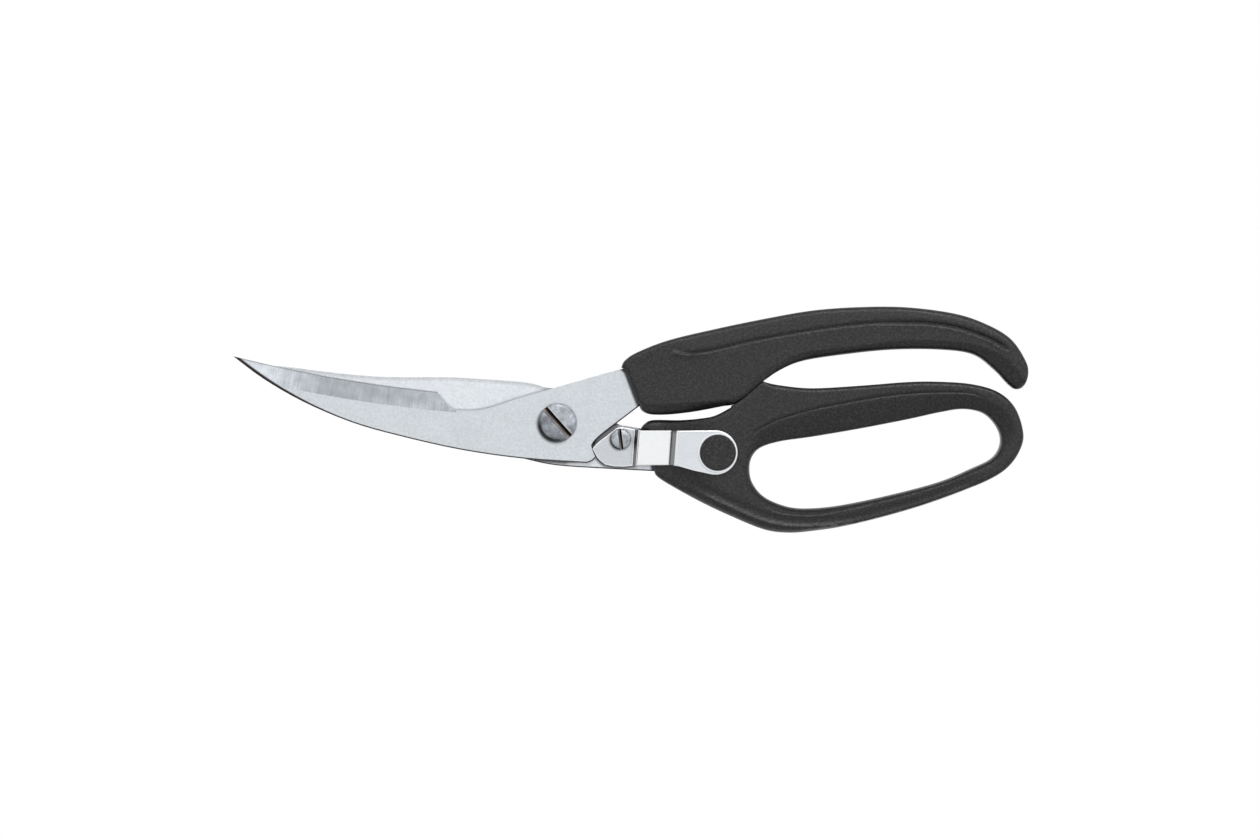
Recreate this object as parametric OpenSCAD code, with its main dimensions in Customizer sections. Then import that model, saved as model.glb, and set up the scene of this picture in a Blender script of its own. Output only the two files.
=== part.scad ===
// Poultry shears: two curved blades on one slotted pivot, moulded handles, a bent
// latch lever with a thumb button, and an opening spring hidden between the blades.
//
// Frame: +X runs along the handles, +Y is up across them, +Z is the front face.
// The origin is on the pivot axis, on the back face of the pivot nut.
// The shears are drawn closed, with the latch released.

/* [Blades] */
// Thickness of each blade and of its tang
blade_t = 3.2; // [3:0.1:3.6]
// Running gap between the two blades
blade_gap = 0.05; // [0.03:0.01:0.08]
// Width of the ground bevel
bevel_w = 5.9; // [4.5:0.1:6.5]
// Thickness left at the cutting edge
edge_land = 0.25; // [0.15:0.05:0.5]
// How far the blades open, in degrees
open_angle = 40; // [30:1:42]

/* [Pivot] */
// Diameter of the slotted pivot screw's head
pivot_head_d = 11.9; // [11:0.1:12.4]
// Outside diameter of the nut's sleeve, on which the blades turn
sleeve_d = 8; // [7:0.1:8.4]
// Thickness of the nut's flange
nut_flange_t = 2; // [1.6:0.1:2.4]
// Height of the disc spring between the nut and the rear blade
disc_spring_h = 0.6; // [0.5:0.05:0.8]
// Wire diameter of the opening spring
spring_wire_d = 1; // [0.8:0.05:1.05]

/* [Handles] */
// Thickness of both handles
handle_t = 13; // [12:0.5:15]
// Height of the lower handle's nose, under the latch lever
nose_h = 8.4; // [8:0.1:8.6]
// Gap between the two handles where they meet
stop_gap = 0.3; // [0.1:0.05:0.6]

/* [Latch] */
// Thickness of the lever's sheet
lever_t = 1.4; // [1:0.1:1.45]
// How far the lever turns from released to locked, in degrees
latch_angle = 8; // [7:0.5:8.5]
// Diameter of the slotted latch screw's head
latch_head_d = 6.5; // [6:0.1:7]
// Diameter of the thumb button
button_d = 11.2; // [10:0.1:11.6]
// Height of the thumb button above the lever
button_h = 1.6; // [1.2:0.1:3]

/* [Hidden] */
$fn = 96;
eps = 0.02;         // fitted faces stand this far apart
running = 0.05;     // radial clearance of a turning fit
curve_steps = 4;    // straight pieces between two points of a curve

// Levels through the thickness
rear_z = nut_flange_t + disc_spring_h;
mid_z = rear_z + blade_t;
front_z = mid_z + blade_gap;
top_z = front_z + blade_t;

// Pivot
recess_r = 6.7;
recess_depth = 1.4;
spring_r = 5.5;
spring_turns = 1.5;
spring_leg = 8;
spring_start = -20;
spring_end = spring_start + 360 * spring_turns - 360;
spring_low_z = mid_z - recess_depth + 0.05 + spring_wire_d / 2;
spring_high_z = front_z + recess_depth - 0.05 - spring_wire_d / 2;
leg_reach = norm([spring_r, spring_leg]) + spring_wire_d / 2 + 0.1;
leg_from = spring_end + 24;  // the moving leg leaves the recess here,
leg_to = spring_end + 61;    // and its end lies here
stop_r = 9;
stop_d = 2.5;
stop_a = 45;
nut_flange_r = 6.5;
thread_d = 5;

// Latch
latch_at = [19.85, -5.2];
button_at = [50.4, -9.4];
button_stem_d = 3.2;
retainer_d = 4.6;
latch_shoulder_d = 4;
latch_thread_d = 3;
lever_z = front_z;
plate_z = handle_t + 0.2;
washer_h = 0.45;
latch_head_z = lever_z + lever_t + washer_h + eps;
bend_turn = -4.5;   // the lever's bends are square to this direction
lock_clear = 0.15;
hook_floor_z = lever_z + lever_t + 0.2;
hook_r = 13.35;     // outside this radius the front blade passes over the lever's nose
travel_floor_z = handle_t - 2.4;
step_x = 38.9;      // where the lower handle steps up from its nose

// ---- Curves -------------------------------------------------------------

// One point between b and c of the smooth curve a, b, c, d
function between(a, b, c, d, t) =
  b + (c - a) * t / 2 + (2 * a - 5 * b + 4 * c - d) * t * t / 2
  + (3 * b - a - 3 * c + d) * t * t * t / 2;

// An open smooth curve through points p, without its last point
function curve(p, n = curve_steps) = [
  for (i = [0 : len(p) - 2])
    for (k = [0 : n - 1])
      between(p[max(i - 1, 0)], p[i], p[i + 1], p[min(i + 2, len(p) - 1)], k / n)
];

// A closed smooth curve through points p
function loop(p, n = curve_steps) = [
  for (i = [0 : len(p) - 1])
    for (k = [0 : n - 1])
      between(
        p[(i + len(p) - 1) % len(p)], p[i],
        p[(i + 1) % len(p)], p[(i + 2) % len(p)], k / n
      )
];

function polar(r, a) = [r * cos(a), r * sin(a)];

// An arc about centre c, both ends included
function arc(c, r, from, to, n) = [
  for (k = [0 : n]) c + polar(r, from + (to - from) * k / n)
];

// Part of a ring about the pivot
function sector(r0, r1, from, to, n = 12) = concat(
  arc([0, 0], r1, from, to, n), arc([0, 0], r0, to, from, n)
);

// A slot of half width w with round ends, along an arc about centre c
function arc_slot(c, r, w, from, to, n = 6) = concat(
  arc(c, r + w, from, to, n),
  arc(c + polar(r, to), w, to + 22.5, to + 157.5, n),
  arc(c, r - w, to, from, n),
  arc(c + polar(r, from), w, from + 202.5, from + 337.5, n)
);

// Centre of the circle through three points
function circle_centre(a, b, c) =
  let (
    u = b - a,
    v = c - a,
    d = 2 * (u[0] * v[1] - u[1] * v[0])
  )
  a + [v[1] * (u * u) - u[1] * (v * v), u[0] * (v * v) - v[0] * (u * u)] / d;

function angle_of(v) = atan2(v[1], v[0]);

// A round edge from point a to point b that passes through m
function edge_arc(a, m, b, n) =
  let (
    c = circle_centre(a, m, b),
    wind = angle_of(a - c) - angle_of(b - c)
  )
  arc(c, norm(a - c), angle_of(a - c), angle_of(a - c) - wind, n);

// Unit vector square to the line from a to b, on its left
function left_of(a, b) = [a[1] - b[1], b[0] - a[0]] / norm(b - a);

// The line p moved sideways by t, with mitred corners
function beside(p, t) = [
  for (i = [0 : len(p) - 1])
    let (
      m = left_of(p[max(i - 1, 0)], p[max(i, 1)]),
      n = left_of(p[min(i, len(p) - 2)], p[min(i + 1, len(p) - 1)])
    )
    p[i] + (m + n) * t / (1 + m * n)
];

function reversed(p) = [for (i = [len(p) - 1 : -1 : 0]) p[i]];

// ---- Outlines -----------------------------------------------------------

// Front blade: cutting edge on top, belly below, tang to the right
front_tip = [-102.1, 20.9];
front_edge = [front_tip, [-70, 14.1], [-37.9, 9.7]];
front_belly = [
  front_tip, [-92.5, 13.8], [-80, 6.6], [-65, 0.2], [-50, -4.1], [-30, -8.6], [-10, -11.4],
  [9.3, -12.7]
];
front_hook = [[9.3, -12.7], [11.2, -11.85], [11.75, -10.75], [11.35, -9.6], [10.75, -7.8]];
front_shoulder = [[10.75, -7.8], [11.6, -6.05], [14.2, -3.6], [18.9, 0], [26, 5.4]];
front_tang = [
  [26, 5.4], [32, 8], [45, 9.8], [60, 15], [75, 23.2], [93, 27], [96.5, 29.8], [93, 32.4],
  [75, 30.5], [55, 25.5], [40, 21.5], [28, 18], [20.2, 16.9]
];
front_back = [
  [20.2, 16.9], [10, 14.05], [0, 11.2], [-12.5, 7.6], [-20, 5.1], [-25, 3.95], [-31.9, 3.9]
];
front_heel = [[-31.9, 3.9], [-33.7, 4.6], [-36.1, 7.1], [-37.9, 9.7]];
front_outline = concat(
  curve(front_belly), curve(front_hook), curve(front_shoulder), curve(front_tang),
  curve(front_back), curve(front_heel),
  edge_arc(front_edge[2], front_edge[1], front_edge[0], 24)
);

// Rear blade: spine on top, cutting edge below, tang to the right
rear_tip = [-97, 18.1];
rear_edge = [rear_tip, [-62, 5.6], [-24, -2]];
rear_heel = [[-24, -2], [-23.4, -3.6], [-21, -7.2], [-17, -9.6]];
rear_belly = [[-17, -9.6], [-9, -11.75], [0, -13.5], [15, -14.5], [30.6, -15.3]];
rear_tang = [
  [30.6, -15.3], [40, -16.5], [52, -21], [60, -26], [74, -31], [78, -30.8], [76, -28.9],
  [64, -26.4], [57.5, -20], [55, -12], [57, -4], [64, 2.4], [76, 6.4], [79, 8], [76, 9],
  [64, 7], [54, 0], [45, -1.6], [34, -2.2], [27, -2]
];
rear_spine = [
  [27, -2], [22.6, -1.15], [18.8, -0.3], [15, 3.2], [10, 8], [4, 10.6], [-3, 11], [-10, 12.65],
  [-25, 13.8], [-35, 14.3], [-50, 14.3], [-60, 14.7], [-72, 15.9], [-86, 17.6], rear_tip
];
rear_outline = concat(
  edge_arc(rear_edge[0], rear_edge[1], rear_edge[2], 24), curve(rear_heel),
  curve(rear_belly), curve(rear_tang), curve(rear_spine)
);

// The handles meet on this line when the blades are closed
meet_low = [56.2, 5.9];
meet_high = [64.8, 12.9];
meet_shift = left_of(meet_low, meet_high) * stop_gap / 2;

// Upper handle: one long bow with a hooked end
upper_top = [
  [20.1, 17.3], [21.1, 19.4], [25, 22.05], [35, 25.9], [50, 29.5], [65, 32.6], [80, 35.2],
  [95, 36.3], [110, 36.2], [125, 34.2], [135, 30.8], [142.5, 26.2], [147.1, 19.4],
  [147.9, 15.2], [146.6, 11.6], [144.3, 10.5], [141.7, 12.2], [137.5, 16.6], [130.7, 21.5],
  [120, 23], [105, 22.95], [90, 21.45], [77.3, 19.45], [70, 16.55], meet_high + meet_shift
];
upper_lower = [
  meet_low + meet_shift, [50, 4.75], [42.6, 3.4], [35, 2.55], [29.3, 2.6], [26.6, 3.7],
  [25.7, 5.4]
];
upper_front = [[25.7, 5.4], [21.4, 16.7]];
upper_outline = concat(
  curve(upper_top), [meet_high + meet_shift], curve(upper_lower), upper_front
);

// Lower handle: a nose under the lever, then the finger loop
lower_nose = [
  [26, -2.15], [27.3, -0.5], [30, 0.8], [38.4, 0.77], [45, 1.3], [50, 2.35],
  meet_low - meet_shift
];
lower_rim = [
  meet_high - meet_shift, [70, 11.7], [80, 10.8], [95, 11.6], [110, 12.75], [120, 12.85],
  [130, 12.1], [138, 9.8], [143.4, 5.2], [146.1, -1.75], [145.9, -7.1], [142.1, -13.4],
  [135, -18.2], [120, -24.2], [105, -28.9], [90, -32.55], [80, -34.05], [72.6, -34.6],
  [65, -33.6], [55, -29.6], [45, -24.9], [35, -19.4], [31.3, -16.9], [30.5, -15.5]
];
lower_front = [[30.5, -15.5], [29.6, -10], [28.4, -3.2], [27.4, -2.4]];
lower_outline = concat(
  curve(lower_nose), [meet_low - meet_shift], curve(lower_rim), lower_front
);
finger_hole = [
  [60.35, -15], [61, -11], [63.8, -7.9], [70, -5.9], [80, -4.45], [95, -1.9], [110, 1],
  [120, 3.2], [127.7, 4.25], [134.2, 2.8], [138.4, -1.8], [139.3, -6.7], [136.7, -11.2],
  [130, -14.6], [120, -18.75], [105, -22.75], [90, -25.9], [80, -27], [72.5, -26.5],
  [65.2, -23.5], [61.4, -19.2]
];

// Latch lever seen from the front, nose to the left, button end to the right
lever_flank_r = 9.4;
lever_end_r = 7;
lever_end_at = [49.6, -9.4];
lever_nose = [10.85, -8.1];
lever_outline = concat(
  [lever_nose],
  arc(latch_at, lever_flank_r, 202.5, 239, 6),
  [[18, -13.85], [20.8, -13.95], [25.4, -13.5], [35.2, -13.3], [38.4, -13.8], [42.5, -15]],
  arc(lever_end_at, lever_end_r, -106, 90, 24),
  [[36, -2.5], [26.4, -2.45], [21.2, -1.45]],
  arc(latch_at, 3.8, 82, 110, 3),
  [[15, -4.4], [12.8, -6.05]]
);

// Pocket for the nose as the lever locks, between its released and locked places
nose_a = angle_of(lever_nose - latch_at) + 360;
nose_r = norm(lever_nose - latch_at);
flank = [12.8, -6.05] - latch_at;
lock_pocket = concat(
  [
    latch_at + polar(6, nose_a + 4),
    latch_at + polar(norm(flank) + lock_clear, angle_of(flank) + 360 - latch_angle - 1.5)
  ],
  arc(latch_at, nose_r + lock_clear, nose_a - latch_angle - 1, nose_a + 4, 5)
);

// Lever seen from the side, along its underside: nose plate, riser, ramp, riser, plate
lever_side = [
  [-12, lever_z], [5.6, lever_z], [6.35, 8.75], [16.95, 9.7], [18.25, plate_z], [42, plate_z]
];

// Tang holes that the handles' plastic fills
front_anchors = [[45, 15.5], [70, 24.8]];
rear_anchors = [[38, -9], [49, -13]];
anchor_d = 5;

// ---- Shared shapes ------------------------------------------------------

module prism(points, low, high) {
  translate([0, 0, low]) linear_extrude(high - low) polygon(points);
}

module rod(d, low, high, at = [0, 0]) {
  translate([at[0], at[1], low]) cylinder(d = d, h = high - low);
}

// A grinding cut along an edge arc: full depth at the edge, nothing at bevel_w from it.
// side is 1 for a blade outside the arc and -1 for one inside it
module grind(edge, edge_z, face_z, side) {
  centre = circle_centre(edge[0], edge[1], edge[2]);
  r = norm(edge[0] - centre);
  slope = (face_z - edge_z) / bevel_w;
  over = 3;
  translate([centre[0], centre[1], 0])
    rotate_extrude($fn = 720)
      polygon([
        [r - side * over, edge_z - over * slope],
        [r + side * (bevel_w + 1), face_z + slope],
        [r - side * over, face_z + slope]
      ]);
}

// A handle with stepped round edges, from z = 0 to handle_t
module rounded_handle() {
  for (step = [[3, 0], [1.6, 0.45], [0.7, 1.1], [0, 2.2]])
    translate([0, 0, step[0]])
      linear_extrude(handle_t - 2 * step[0])
        offset(delta = -step[1]) children();
}

module slot(d, width, depth, z, turn) {
  rotate([0, 0, turn]) translate([-d, -width / 2, z - depth]) cube([2 * d, width, depth + 5]);
}

// A blade with its tang, or the space it takes in its handle when grown by eps
module blade_plate(outline, low, anchors, grow = 0) {
  difference() {
    translate([0, 0, low - grow])
      linear_extrude(blade_t + 2 * grow)
        if (grow > 0) offset(delta = grow) polygon(outline);
        else polygon(outline);
    for (at = anchors) rod(anchor_d - 2 * grow, low - 1, low + blade_t + 1, at);
  }
}

// ---- Front blade and upper handle --------------------------------------

// Room on the front blade's inner side for the lever's nose: a channel that it runs
// through as the blades open, and the pocket that it turns into when it locks them
module nose_room() {
  low = front_z - 1;
  channel_from = -94;
  channel_to = -28;
  prism(sector(hook_r, hook_r + nose_r, channel_from, channel_to), low, hook_floor_z);
  for (turn = [0, open_angle]) rotate([0, 0, -turn]) prism(lock_pocket, low, hook_floor_z);
}

module front_blade() {
  color("#D1D4D9")
    difference() {
      blade_plate(front_outline, front_z, front_anchors);
      intersection() {
        grind(front_edge, front_z + edge_land, top_z, 1);
        translate([-120, -20, front_z]) cube([120 + front_heel[0][0], 60, 2 * blade_t]);
      }
      rod(sleeve_d + 2 * running, front_z - 1, top_z + 1);
      rod(2 * recess_r, front_z - 1, front_z + recess_depth);
      // room for the spring's moving leg, which the blade leaves behind as it opens
      prism(sector(recess_r - 1, leg_reach, leg_from - open_angle, leg_to),
            front_z - 1, front_z + recess_depth);
      // travel of the stop pin
      prism(arc_slot([0, 0], stop_r, stop_d / 2 + 0.1, stop_a - open_angle, stop_a),
            front_z - 1, front_z + recess_depth + 0.1);
      nose_room();
    }
}

module upper_handle() {
  color("#3A3A3B")
    difference() {
      rounded_handle() polygon(upper_outline);
      blade_plate(front_outline, front_z, front_anchors, eps);
    }
}

// ---- Rear blade and lower handle ---------------------------------------

module rear_blade() {
  leg_at = polar(spring_r, spring_start);
  leg_slot = [spring_wire_d + 0.3, spring_leg + 0.7, recess_depth + 1];
  plunge_a = 20;
  reach = 120;
  color("#DFE3E7")
    difference() {
      blade_plate(rear_outline, rear_z, rear_anchors);
      intersection() {
        translate([0, 0, rear_z + mid_z]) mirror([0, 0, 1])
          grind(rear_edge, rear_z + edge_land, mid_z, -1);
        // the grind stops at a slanting plunge line
        translate([rear_heel[0][0], rear_heel[0][1], rear_z - blade_t])
          rotate([0, 0, plunge_a]) translate([-reach, -reach / 2, 0])
            cube([reach, reach, 2 * blade_t]);
      }
      rod(sleeve_d + 2 * running, rear_z - 1, mid_z + 1);
      rod(2 * recess_r, mid_z - recess_depth, mid_z + 1);
      // slot for the spring's fixed leg
      translate([leg_at[0], leg_at[1], mid_z - recess_depth])
        rotate([0, 0, spring_start])
          translate([-leg_slot[0] / 2, -leg_slot[1], 0]) cube(leg_slot);
      rod(stop_d + eps, rear_z - 1, mid_z + 1, polar(stop_r, stop_a));
      rod(latch_thread_d + eps, rear_z - 1, mid_z + 1, latch_at);
    }
}

// Slot in the handle's face in which the button's stem travels
module button_travel() {
  reach = button_at - latch_at;
  r = norm(reach);
  a = angle_of(reach);
  half = retainer_d / 2 + 0.3;
  prism(arc_slot(latch_at, r, half, a - latch_angle - 0.5, a + 0.5), travel_floor_z, handle_t + 1);
}

module lower_handle() {
  nose_box = [20, 30, handle_t];
  color("#3A3A3B")
    difference() {
      rounded_handle()
        difference() {
          polygon(lower_outline);
          polygon(loop(finger_hole));
        }
      blade_plate(rear_outline, rear_z, rear_anchors, eps);
      button_travel();
      translate([step_x - nose_box[0], 5 - nose_box[1], nose_h]) cube(nose_box);
    }
}

// ---- Pivot --------------------------------------------------------------

module screw_head(d, low, edge_h, dome_h) {
  points = concat(
    [[0, low], [d / 2 - 0.3, low], [d / 2, low + 0.3], [d / 2, low + edge_h]],
    [for (k = [1 : 6]) [d / 2 * cos(15 * k), low + edge_h + dome_h * sin(15 * k)]]
  );
  rotate_extrude() polygon(points);
}

module pivot_screw() {
  edge_h = 1.1;
  dome_h = 0.5;
  slot_w = 1.8;
  slot_depth = 1.2;
  slot_turn = -48.3;
  color("#C4C7CB")
    difference() {
      union() {
        screw_head(pivot_head_d, top_z + eps, edge_h, dome_h);
        rod(thread_d - 2 * eps, nut_flange_t + 0.5, top_z + 0.5);
      }
      slot(pivot_head_d, slot_w, slot_depth, top_z + edge_h + dome_h, slot_turn);
    }
}

module pivot_nut() {
  spanner_d = 1.6;
  spanner_depth = 1.2;
  spanner_r = 4.4;
  color("#BFC2C6")
    difference() {
      union() {
        rotate_extrude()
          polygon([
            [0, 0], [nut_flange_r - 0.5, 0], [nut_flange_r, 0.5],
            [nut_flange_r, nut_flange_t], [0, nut_flange_t]
          ]);
        rod(sleeve_d, 1, top_z);
      }
      rod(thread_d, nut_flange_t, top_z + 1);
      for (side = [-1, 1]) rod(spanner_d, -1, spanner_depth, [spanner_r * side, 0]);
    }
}

module pivot_disc_spring() {
  low = nut_flange_t + eps;
  high = rear_z - eps;
  sheet = 0.4;
  color("#AEB2B7")
    rotate_extrude()
      polygon([
        [sleeve_d / 2 + 0.1, low], [sleeve_d / 2 + 0.1, low + sheet],
        [nut_flange_r - 0.4, high], [nut_flange_r - 0.4, high - sheet]
      ]);
}

// A wire of round section along a list of points
module wire(path, d, sides = 10) {
  last = len(path) - 1;
  rings = [
    for (i = [0 : last])
      let (
        way = path[min(i + 1, last)] - path[max(i - 1, 0)],
        out = cross(way, [0, 0, 1]) / norm(cross(way, [0, 0, 1])),
        up = cross(out, way) / norm(way)
      )
      for (k = [0 : sides - 1])
        path[i] + d / 2 * (out * cos(360 * k / sides) + up * sin(360 * k / sides))
  ];
  walls = [
    for (i = [0 : last - 1])
      for (k = [0 : sides - 1])
        [i * sides + k, i * sides + (k + 1) % sides,
         (i + 1) * sides + (k + 1) % sides, (i + 1) * sides + k]
  ];
  caps = [
    [for (k = [sides - 1 : -1 : 0]) k],
    [for (k = [0 : sides - 1]) last * sides + k]
  ];
  polyhedron(rings, concat(walls, caps));
}

module opening_spring() {
  steps = 48;
  turn = 360 * spring_turns;
  along = function (a) [-sin(a), cos(a)];
  level = function (p, z) [p[0], p[1], z];
  start = polar(spring_r, spring_start);
  end = polar(spring_r, spring_end);
  path = concat(
    [level(start - spring_leg * along(spring_start), spring_low_z)],
    [
      for (k = [0 : steps])
        level(
          polar(spring_r, spring_start + turn * k / steps),
          spring_low_z + (spring_high_z - spring_low_z) * k / steps
        )
    ],
    [level(end + spring_leg * along(spring_end), spring_high_z)]
  );
  color("#9DA1A6") wire(path, spring_wire_d);
}

module stop_pin() {
  color("#AEB2B7") rod(stop_d - eps, rear_z, front_z + recess_depth, polar(stop_r, stop_a));
}

// ---- Latch --------------------------------------------------------------

module latch_lever() {
  top = beside(lever_side, lever_t);
  length = 80;
  color("#D6DADF")
    difference() {
      intersection() {
        prism(lever_outline, lever_z - 1, plate_z + lever_t + 1);
        translate([latch_at[0], latch_at[1], 0])
          rotate([0, 0, bend_turn])
            translate([0, length / 2, 0])
              rotate([90, 0, 0])
                linear_extrude(length) polygon(concat(lever_side, reversed(top)));
      }
      rod(latch_shoulder_d + 2 * running, lever_z - 1, lever_z + lever_t + 1, latch_at);
      rod(button_stem_d + 2 * eps, plate_z - 1, plate_z + lever_t + 1, button_at);
    }
}

module latch_screw() {
  edge_h = 0.9;
  dome_h = 0.4;
  slot_w = 1.1;
  slot_depth = 0.9;
  slot_turn = -83;
  color("#C4C7CB")
    translate([latch_at[0], latch_at[1], 0])
      difference() {
        union() {
          screw_head(latch_head_d, latch_head_z, edge_h, dome_h);
          rod(latch_shoulder_d, mid_z + eps, latch_head_z + 0.5);
          rod(latch_thread_d - eps, rear_z, mid_z + 0.5);
        }
        slot(latch_head_d, slot_w, slot_depth, latch_head_z + edge_h + dome_h, slot_turn);
      }
}

module latch_wave_washer() {
  low = lever_z + lever_t + eps;
  high = latch_head_z - eps;
  sheet = 0.25;
  color("#AEB2B7")
    translate([latch_at[0], latch_at[1], 0])
      rotate_extrude()
        polygon([
          [latch_shoulder_d / 2 + 0.1, high - sheet], [latch_shoulder_d / 2 + 0.1, high],
          [latch_head_d / 2 - 0.3, low + sheet], [latch_head_d / 2 - 0.3, low]
        ]);
}

module latch_button() {
  low = plate_z + lever_t + eps;
  stem_z = plate_z - 1.6;
  r = button_d / 2;
  color("#343435")
    translate([button_at[0], button_at[1], 0])
      rotate_extrude()
        polygon([
          [0, stem_z], [button_stem_d / 2, stem_z], [button_stem_d / 2, low],
          [r, low], [r, low + button_h - 0.5], [r - 0.15, low + button_h - 0.15],
          [r - 0.5, low + button_h], [0, low + button_h]
        ]);
}

module button_retainer() {
  color("#9DA1A6")
    translate([button_at[0], button_at[1], 0])
      difference() {
        rod(retainer_d, plate_z - 0.6, plate_z - 0.15);
        rod(button_stem_d + 2 * eps, plate_z - 1, plate_z);
      }
}

front_blade();
rear_blade();
upper_handle();
lower_handle();
pivot_screw();
pivot_nut();
pivot_disc_spring();
opening_spring();
stop_pin();
latch_lever();
latch_screw();
latch_wave_washer();
latch_button();
button_retainer();
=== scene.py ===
"""Looks of the poultry shears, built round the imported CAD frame.

Outlines and places come from the frame. Sizes below are in millimetres, and the meshes
are scaled to metres as they are made.
"""

import math

import bmesh
import bpy
import numpy as np
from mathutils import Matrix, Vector
from mathutils.geometry import delaunay_2d_cdt
from mathutils.kdtree import KDTree


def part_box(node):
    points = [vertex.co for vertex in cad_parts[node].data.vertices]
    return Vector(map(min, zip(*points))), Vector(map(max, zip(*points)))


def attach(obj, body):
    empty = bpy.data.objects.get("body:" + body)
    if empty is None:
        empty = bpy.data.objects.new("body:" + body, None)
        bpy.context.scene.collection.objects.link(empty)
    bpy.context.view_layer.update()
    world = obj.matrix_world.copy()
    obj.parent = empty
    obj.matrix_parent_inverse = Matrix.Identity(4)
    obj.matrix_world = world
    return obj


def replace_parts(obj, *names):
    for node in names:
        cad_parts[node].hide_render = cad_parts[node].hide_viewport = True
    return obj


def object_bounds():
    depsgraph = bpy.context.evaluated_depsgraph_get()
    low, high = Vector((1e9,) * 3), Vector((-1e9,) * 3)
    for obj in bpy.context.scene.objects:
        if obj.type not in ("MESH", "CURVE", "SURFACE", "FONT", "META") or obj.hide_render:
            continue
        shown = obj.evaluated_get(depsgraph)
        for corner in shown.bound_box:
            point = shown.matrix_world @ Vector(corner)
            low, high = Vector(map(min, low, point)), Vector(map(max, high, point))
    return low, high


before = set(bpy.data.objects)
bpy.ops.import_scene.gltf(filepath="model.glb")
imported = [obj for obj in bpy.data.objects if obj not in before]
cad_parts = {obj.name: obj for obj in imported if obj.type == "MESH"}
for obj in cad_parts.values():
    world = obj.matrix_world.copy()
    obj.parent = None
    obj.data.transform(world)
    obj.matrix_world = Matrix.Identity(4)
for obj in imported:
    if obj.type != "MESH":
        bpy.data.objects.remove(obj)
cad_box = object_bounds()

MM = 0.001

# ---- Sizes taken from the frame -------------------------------------------


def node_box(node):
    """Lowest and highest corner of a CAD node, in mm."""
    low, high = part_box(node)
    return np.array(low) / MM, np.array(high) / MM


HANDLE_T = node_box("upper_handle")[1][2]
BLADE_TOP = node_box("front_blade")[1][2]
PIVOT = np.array([0.0, 0.0])  # the frame's origin lies on its axis
LATCH = np.mean([box[:2] for box in node_box("latch_screw")], axis=0)
BUTTON = np.mean([box[:2] for box in node_box("latch_button")], axis=0)

# ---- Lines of the blades ---------------------------------------------------

FRONT_TIP = (-102.1, 20.9)
REAR_TIP = (-97.0, 18.1)
# The front blade's cutting edge is an arc through these points
CUTTING_EDGE = np.array([FRONT_TIP, (-70.0, 14.1), (-37.9, 9.7)])
# and its belly, near the tip, through these
BELLY_EDGE = np.array([FRONT_TIP, (-80.0, 6.6), (-65.0, 0.2)])

# ---- Lines of the moulded handles -----------------------------------------

# Groove along the upper handle, from behind the blade to the hooked end
UPPER_GROOVE = [
    (35, 23.2), (37.1, 22.65), (40, 22.1), (43.4, 22.2), (50, 23.2), (60, 25.6), (70, 27.5),
    (80, 29.2), (90, 30.6), (100, 31.5), (108, 31.7), (115, 31.6), (125, 30.3), (135, 27),
    (139.1, 24.9), (141.2, 23.3),
]
# Where the upper handle's face turns down into its underside
UPPER_TURN = [
    (25.2, 6.6), (27, 5.9), (29.2, 5.5), (34.4, 5.7), (44.8, 6.5), (56.3, 7.9), (61.5, 12.6),
    (67, 17.4), (74, 20.9), (82.7, 22.7), (95.3, 24), (105, 25.3), (115, 25.8), (126.6, 25.1),
    (133.5, 23.7), (140.4, 20.5), (144.2, 16.9), (145.9, 14),
]
# Where the lower handle's face turns down into the finger hole
HOLE_TURN = [
    (59.9, -8.6), (61.3, -4.3), (63.1, -2.2), (66.7, -0.2), (70, 1.25), (80, 4.2), (90, 6.2),
    (100, 8), (110, 9.15), (120, 9.6), (130, 9.2), (136, 6.6), (142.1, 2.5), (143.7, -2.5),
    (141.3, -8.8), (136, -13.2), (120.8, -19.6), (97.6, -25.9), (83.1, -28.9), (77, -29.2),
    (72.5, -28.9), (68, -27.8), (63.5, -25), (60.3, -21.6), (58.5, -17), (58.5, -12.5),
]
# Crest of the rounded rim under the finger hole
RIM_CREST = [
    (37, -17.6), (40, -19.1), (50, -24), (60, -28.5), (65, -30.4), (70, -31.65), (75, -32.2),
    (80, -32.2), (86, -31.8), (95, -30.6), (105, -28), (115, -25.1), (125, -21.5),
    (133.5, -18.2),
]
# Where the two handles touch when the shears are closed
MEETING = np.array([(56.2, 5.9), (60.5, 9.4), (64.8, 12.9)])
# The lower handle's nose lies under the lever, and rises to full height between these x
NOSE_TOP = 8.4
NOSE_RISE = (32.0, 50.0)
# No point of a handle's face lies deeper than this
DEEPEST = 3.8

# ---- Density of the moulded meshes -----------------------------------------

OUTLINE_STEP = 0.7
LINE_STEP = 0.6
RIM_ROWS = (0.12, 0.3, 0.55, 0.9, 1.4, 2.0)  # rows of points inside the outlines
LINE_ROWS = (0, 0.3, -0.3, 0.65, -0.65)  # and on both sides of the lines on the face
GRID = 0.8  # spacing of the points between the rows
CLOSEST = 0.24  # between two points
RIM_GAP = 0.1  # between a point and an outline

# ---- Plane geometry --------------------------------------------------------


def unit(v):
    return v / np.linalg.norm(v)


def signed_area(points):
    """Twice the area inside a closed line, positive if it runs anticlockwise."""
    x, y = points.T
    return (x * np.roll(y, -1) - np.roll(x, -1) * y).sum()


def bend_at(points):
    """Turning angle in degrees at each point of a closed line."""
    before = points - np.roll(points, 1, axis=0)
    after = np.roll(points, -1, axis=0) - points
    cross = before[:, 0] * after[:, 1] - before[:, 1] * after[:, 0]
    dot = (before * after).sum(axis=1)
    return np.degrees(np.arctan2(cross, dot))


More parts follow.
